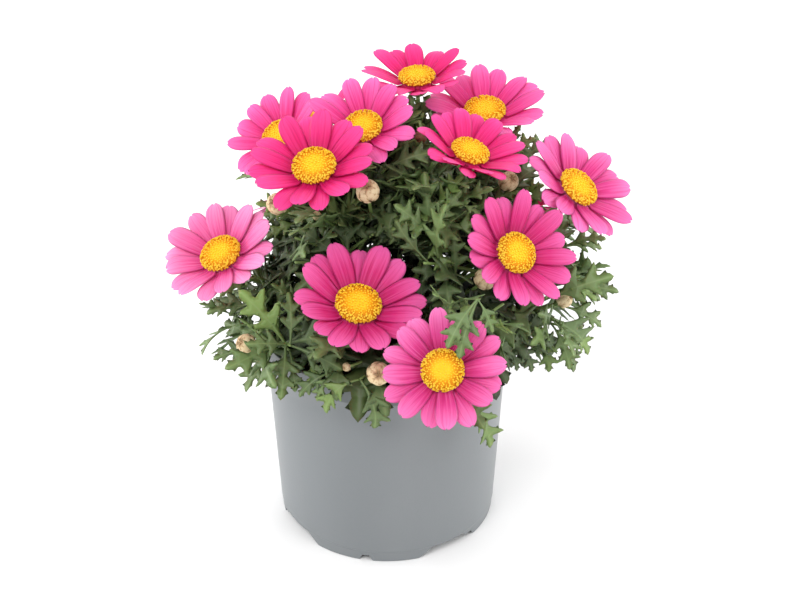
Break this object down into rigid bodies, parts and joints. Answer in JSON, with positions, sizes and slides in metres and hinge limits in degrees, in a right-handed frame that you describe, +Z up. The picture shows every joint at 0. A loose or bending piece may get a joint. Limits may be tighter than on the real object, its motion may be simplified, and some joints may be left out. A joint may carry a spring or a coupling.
{
  "type": "potted marguerite daisy",
  "caption": "Bushy daisy plant with pink rayed blooms, yellow domed centres, cut green leaves and cream buds, growing in a plain round grey plastic grower's pot.",
  "frame": {"origin": "middle of the pot's foot, on the surface it stands on", "axes": "+Z up along the pot's axis; -Y is the front, the side the picture shows"},
  "size_m": [0.2209, 0.2102, 0.2249],
  "materials": {
    "petal_hot": "soft matt petal, hot pink",
    "petal_deep": "soft matt petal, deep pink",
    "petal_orchid": "soft matt petal, orchid pink",
    "petal_pale": "soft matt petal, pale pink",
    "disc": "grainy yellow florets",
    "bud": "dry cream bracts",
    "leaf": "matt grey-green leaf",
    "soil": "dark crumbly compost",
    "pot": "grey moulded plastic, faint sheen"
  },
  "bodies": {
    "root": {"bud_back": "bud", "bud_front_low": "bud", "bud_left_low": "bud", "bud_left_upper": "bud", "bud_right_low": "bud", "bud_right_middle": "bud", "bud_right_upper": "bud", "bud_upper": "bud", "disc_back_left": "disc", "disc_back_middle": "disc", "disc_back_right": "disc", "disc_far_left": "disc", "disc_far_right": "disc", "disc_low_front": "disc", "disc_middle_front": "disc", "disc_peeking": "disc", "disc_right": "disc", "disc_top": "disc", "disc_top_left": "disc", "disc_top_middle": "disc", "disc_top_right": "disc", "disc_upper_left": "disc", "disc_upper_right": "disc", "petals_back_left": "petal_orchid", "petals_back_middle": "petal_deep", "petals_back_right": "petal_hot", "petals_far_left": "petal_pale", "petals_far_right": "petal_deep", "petals_low_front": "petal_deep", "petals_middle_front": "petal_deep", "petals_peeking": "petal_hot", "petals_right": "petal_deep", "petals_top": "petal_hot", "petals_top_left": "petal_hot", "petals_top_middle": "petal_orchid", "petals_top_right": "petal_orchid", "petals_upper_left": "petal_hot", "petals_upper_right": "petal_hot", "pot": "pot", "soil": "soil", "stem_back_left": "leaf", "stem_back_middle": "leaf", "stem_back_right": "leaf", "stem_far_left": "leaf", "stem_far_right": "leaf", "stem_left_shoot": "leaf", "stem_low_front": "leaf", "stem_middle_front": "leaf", "stem_peeking": "leaf", "stem_right": "leaf", "stem_right_shoot": "leaf", "stem_top": "leaf", "stem_top_left": "leaf", "stem_top_middle": "leaf", "stem_top_right": "leaf", "stem_upper_left": "leaf", "stem_upper_right": "leaf"}
  },
  "joints": []
}
